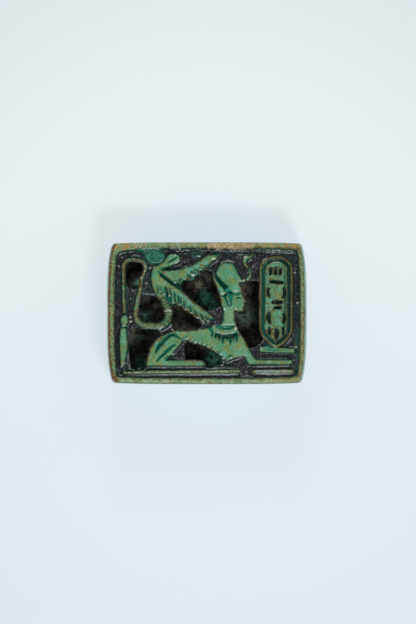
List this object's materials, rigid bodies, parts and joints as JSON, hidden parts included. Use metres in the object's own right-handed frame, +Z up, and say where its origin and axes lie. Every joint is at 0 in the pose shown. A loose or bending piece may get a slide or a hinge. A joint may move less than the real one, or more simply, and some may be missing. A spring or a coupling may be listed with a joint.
{
  "type": "inscribed plaque",
  "caption": "Small openwork carved plaque with a green glaze: winged cobra, crowned sphinx and name ring in a raised rim, pierced into a hollow inside.",
  "frame": {"origin": "middle of the underside, on the plane that the plaque lies on", "axes": "+X along the length, towards the name ring; +Y across, towards the top of the picture; +Z up out of the carved face"},
  "size_m": [0.03, 0.021, 0.009],
  "materials": {
    "green_glaze": "worn glossy green glaze over carved stone"
  },
  "bodies": {
    "root": {"plaque": "green_glaze"}
  },
  "joints": []
}
